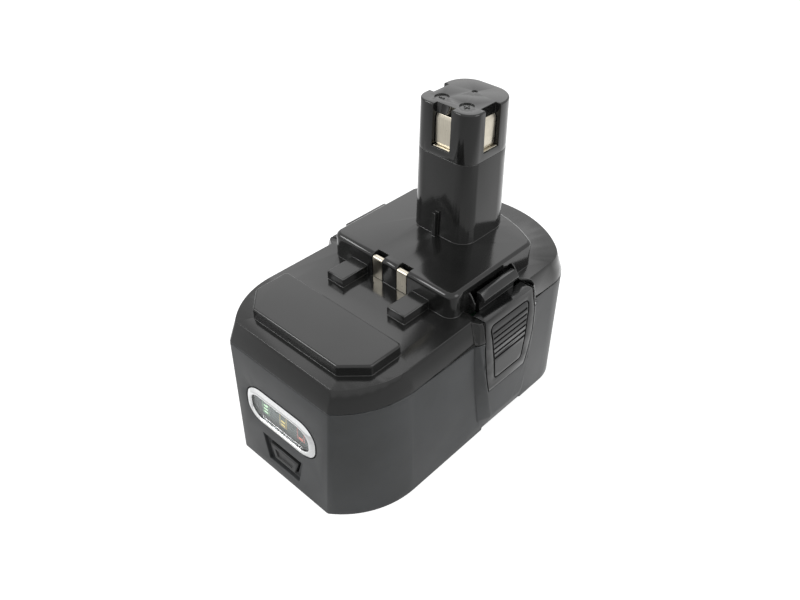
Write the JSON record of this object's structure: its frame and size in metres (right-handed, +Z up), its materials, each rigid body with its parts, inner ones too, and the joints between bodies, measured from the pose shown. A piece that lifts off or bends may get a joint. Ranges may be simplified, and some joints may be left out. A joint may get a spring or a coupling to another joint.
{
  "type": "power tool battery pack",
  "caption": "Slide-in stem battery pack for a cordless power tool, with side latches, a charge gauge with a test button, and cells in holders inside a two-part case.",
  "frame": {"origin": "centre of the overall footprint, on the plane that the flat base rests on", "axes": "+Z up along the contact stem; the charge gauge faces -Y; the stem stands towards +Y; the latches are on the +X and -X sides"},
  "size_m": [0.0814, 0.1326, 0.1199],
  "materials": {
    "case_plastic": "satin moulded plastic",
    "cover_plastic": "semi-gloss moulded plastic",
    "latch_plastic": "satin moulded plastic",
    "nickel": "nickel-plated sheet",
    "steel": "plain steel",
    "chrome_trim": "bright plated trim",
    "clear_lens": "clear moulded lens",
    "icon_plate": "grey printed plate with three level icons",
    "white_plastic": "white moulded plastic",
    "board": "green circuit board",
    "green_light": "tinted diode",
    "amber_light": "tinted diode",
    "red_light": "tinted diode",
    "dark_plastic": "black moulded plastic",
    "holder_plastic": "black moulded plastic",
    "fibre_sheet": "pressed fibre sheet",
    "foam": "soft foam",
    "capacitor_sleeve": "sleeved can",
    "lead_sleeve": "insulated leads",
    "bead": "lacquered bead",
    "cell_sleeve": "sleeved steel can"
  },
  "bodies": {
    "pack": {"bottom_case": "case_plastic", "top_cover": "cover_plastic", "stem_cap": "cover_plastic", "contact_thermistor": "nickel", "contact_positive": "nickel", "contact_negative": "nickel", "signal_contact_right": "nickel", "signal_contact_left": "nickel", "nickel_strips_right": "nickel", "nickel_strips_left": "nickel", "current_shunt": "nickel", "latch_pin_right": "steel", "latch_pin_left": "steel", "latch_spring_right": "steel", "latch_spring_left": "steel", "case_screws": "steel", "board_screws": "steel", "gauge_bezel": "chrome_trim", "gauge_lens": "clear_lens", "gauge_icon_plate": "icon_plate", "gauge_light_box": "white_plastic", "lead_connector": "white_plastic", "gauge_board": "board", "main_board": "board", "led_green": "green_light", "led_amber": "amber_light", "led_red": "red_light", "test_switch": "dark_plastic", "power_transistors": "dark_plastic", "controller_chip": "dark_plastic", "cell_holder_right": "holder_plastic", "cell_holder_left": "holder_plastic", "insulator_sheet_right": "fibre_sheet", "insulator_sheet_left": "fibre_sheet", "foam_pad": "foam", "capacitors": "capacitor_sleeve", "gauge_leads": "lead_sleeve", "thermistor": "bead", "cell_1": "cell_sleeve", "cell_2": "cell_sleeve", "cell_3": "cell_sleeve", "cell_4": "cell_sleeve", "cell_5": "cell_sleeve", "cell_6": "cell_sleeve", "cell_7": "cell_sleeve", "cell_8": "cell_sleeve", "cell_9": "cell_sleeve", "cell_10": "cell_sleeve"},
    "latch_right": {"latch_right": "latch_plastic"},
    "latch_left": {"latch_left": "latch_plastic"},
    "button": {"test_button": "case_plastic", "switch_plunger": "dark_plastic"}
  },
  "joints": [
    {"name": "latch_right_hinge", "type": "hinge", "parent": "pack", "child": "latch_right", "pos_m": [0.0382, 0.01087, 0.028], "axis": [0, -1, 0], "range_deg": [0, 4.5], "stiffness_Nm_per_rad": 0.9, "deforming": ["latch_spring_right"]},
    {"name": "latch_left_hinge", "type": "hinge", "parent": "pack", "child": "latch_left", "pos_m": [-0.0382, 0.01087, 0.028], "axis": [0, 1, 0], "range_deg": [0, 4.5], "stiffness_Nm_per_rad": 0.9, "deforming": ["latch_spring_left"]},
    {"name": "button_slide", "type": "slide", "parent": "pack", "child": "button", "axis": [0, 1, 0], "range_m": [0, 0.0007], "stiffness_N_per_m": 500}
  ]
}
